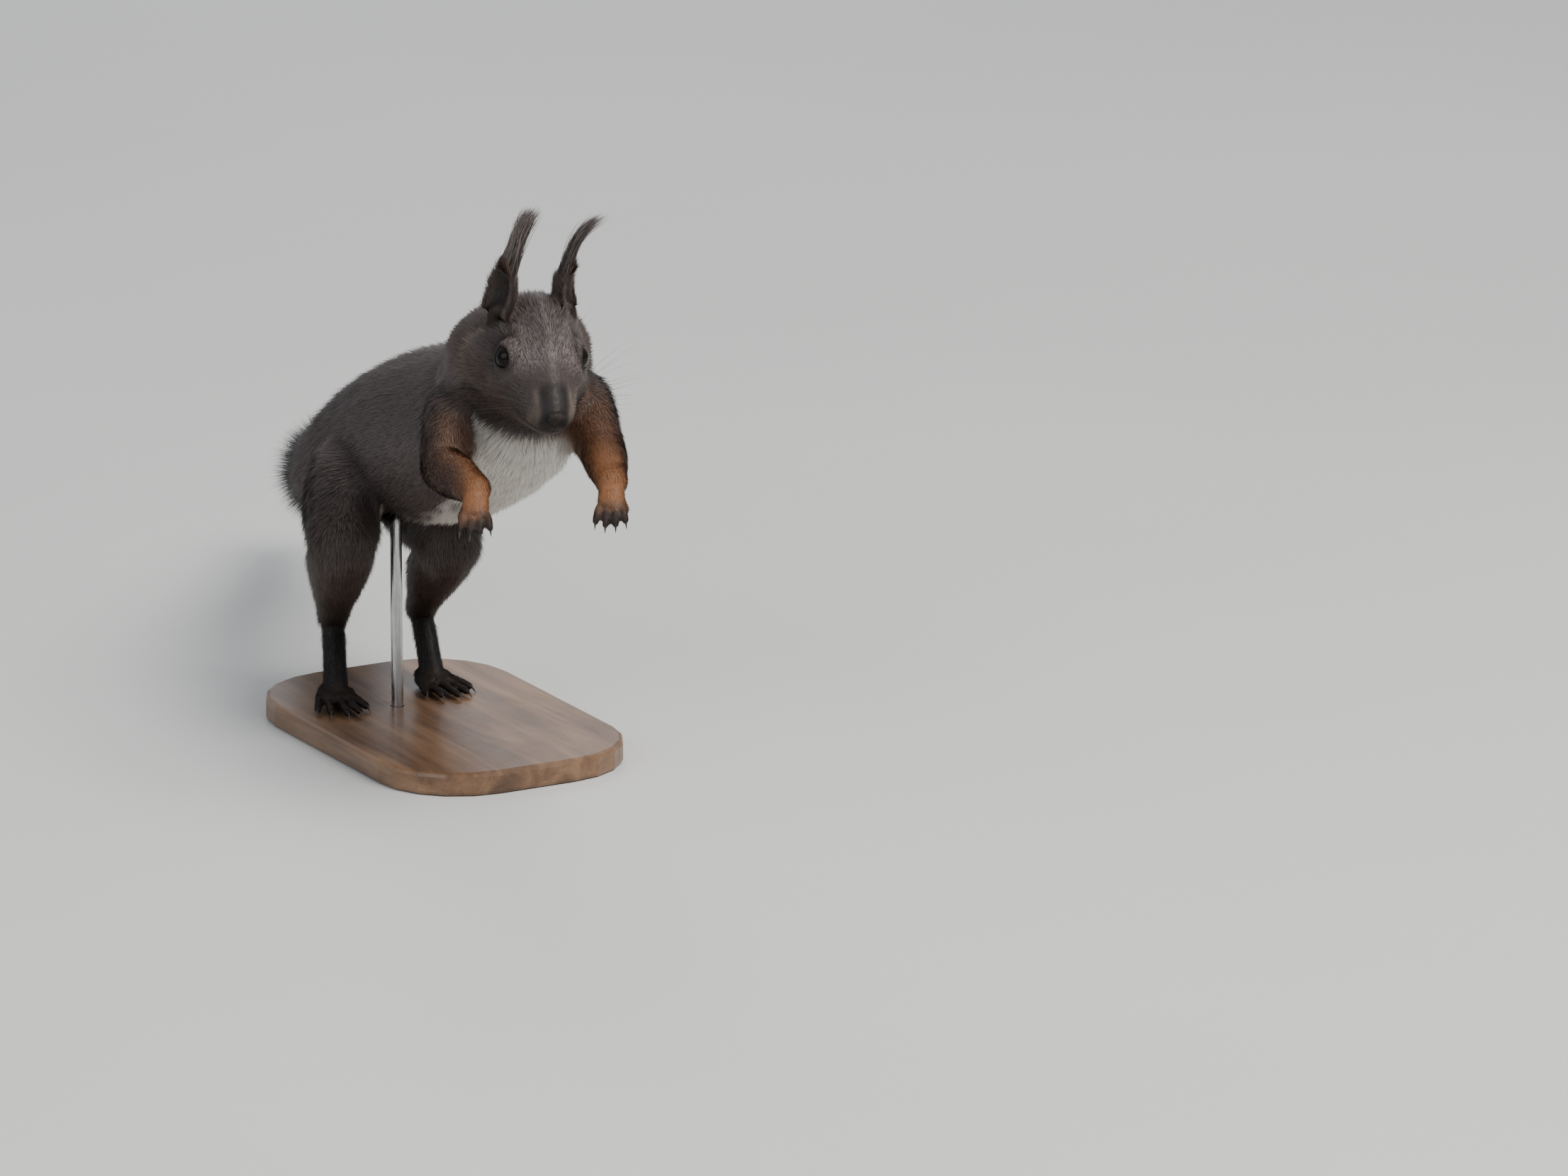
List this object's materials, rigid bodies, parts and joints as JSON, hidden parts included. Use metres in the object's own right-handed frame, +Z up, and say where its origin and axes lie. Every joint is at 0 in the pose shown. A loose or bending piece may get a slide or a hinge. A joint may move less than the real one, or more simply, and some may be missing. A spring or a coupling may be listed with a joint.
{
  "type": "squirrel model",
  "caption": "Still life-size squirrel with long ear tufts, bushy tail and forelegs reaching forward at the start of a leap, held by a rod on a flat stand.",
  "frame": {"origin": "middle of the stand's flat underside", "axes": "+Z up, -Y the way the animal faces, +X towards its left side"},
  "size_m": [0.1309, 0.362, 0.2036],
  "materials": {
    "fur_brown": "dense grey-brown fur, off-white on the throat and belly",
    "fur_rust": "short rusty orange fur on the forearms",
    "fur_dark": "near-black fur of the ears, paws and tail",
    "eye_dark": "wet, almost black eye",
    "nose_skin": "bare dark skin of the nose, and horn of the claws",
    "stand_wood": "satin varnished hardwood",
    "stand_steel": "brushed"
  },
  "bodies": {
    "root": {"chest": "fur_brown", "ear_l": "fur_dark", "ear_r": "fur_dark", "ear_tuft_l": "fur_dark", "ear_tuft_r": "fur_dark", "eye_l": "eye_dark", "eye_r": "eye_dark", "foot_l": "fur_dark", "foot_r": "fur_dark", "forearm_l": "fur_rust", "forearm_r": "fur_rust", "hand_l": "fur_dark", "hand_r": "fur_dark", "head": "fur_brown", "loin": "fur_brown", "neck": "fur_brown", "nose": "nose_skin", "shank_l": "fur_brown", "shank_r": "fur_brown", "stand_base": "stand_wood", "stand_rod": "stand_steel", "tail_1": "fur_dark", "tail_2": "fur_dark", "tail_3": "fur_dark", "tail_4": "fur_dark", "thigh_l": "fur_brown", "thigh_r": "fur_brown", "upper_arm_l": "fur_brown", "upper_arm_r": "fur_brown"}
  },
  "joints": []
}
